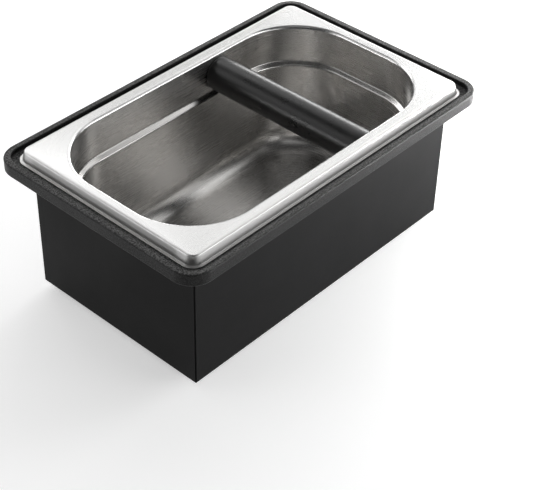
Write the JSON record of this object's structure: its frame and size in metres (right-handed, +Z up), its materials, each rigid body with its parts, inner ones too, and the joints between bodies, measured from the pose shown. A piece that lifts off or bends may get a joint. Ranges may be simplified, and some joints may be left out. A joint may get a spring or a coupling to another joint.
{
  "type": "espresso knock box",
  "caption": "Black rectangular housing with a rim frame that carries a lift-out steel pan; a rubber-sleeved knock bar crosses the pan just under its rim.",
  "frame": {"origin": "centre of the footprint, on the surface under the feet", "axes": "+X along the long side, towards the end that the knock bar is nearer to; +Y to the rear; +Z up"},
  "size_m": [0.284, 0.179, 0.115],
  "materials": {
    "pan_steel": "satin brushed stainless sheet",
    "core_steel": "turned stainless rod",
    "bolt_steel": "bright stainless fastener",
    "zinc_steel": "bright zinc plate",
    "black_screw": "black oxide",
    "housing_coat": "fine-textured black powder coat",
    "rim_plastic": "matte black moulded",
    "bar_rubber": "smooth black rubber",
    "seal_rubber": "black rubber ring",
    "foot_rubber": "matte black rubber"
  },
  "bodies": {
    "housing": {"housing_box": "housing_coat", "rim_frame": "rim_plastic", "rim_screws": "black_screw", "foot_front_left": "foot_rubber", "foot_front_right": "foot_rubber", "foot_rear_left": "foot_rubber", "foot_rear_right": "foot_rubber", "foot_screws": "zinc_steel", "foot_washers": "zinc_steel", "foot_nuts": "zinc_steel"},
    "pan_unit": {"pan": "pan_steel", "bar_core": "core_steel", "bar_sleeve": "bar_rubber", "bar_screw_front": "bolt_steel", "bar_screw_rear": "bolt_steel", "bar_washer_front": "bolt_steel", "bar_washer_rear": "bolt_steel", "bar_seal_front": "seal_rubber", "bar_seal_rear": "seal_rubber"}
  },
  "joints": [
    {"name": "pan_lift", "type": "slide", "parent": "housing", "child": "pan_unit", "axis": [0, 0, 1], "range_m": [0, 0.13]}
  ]
}
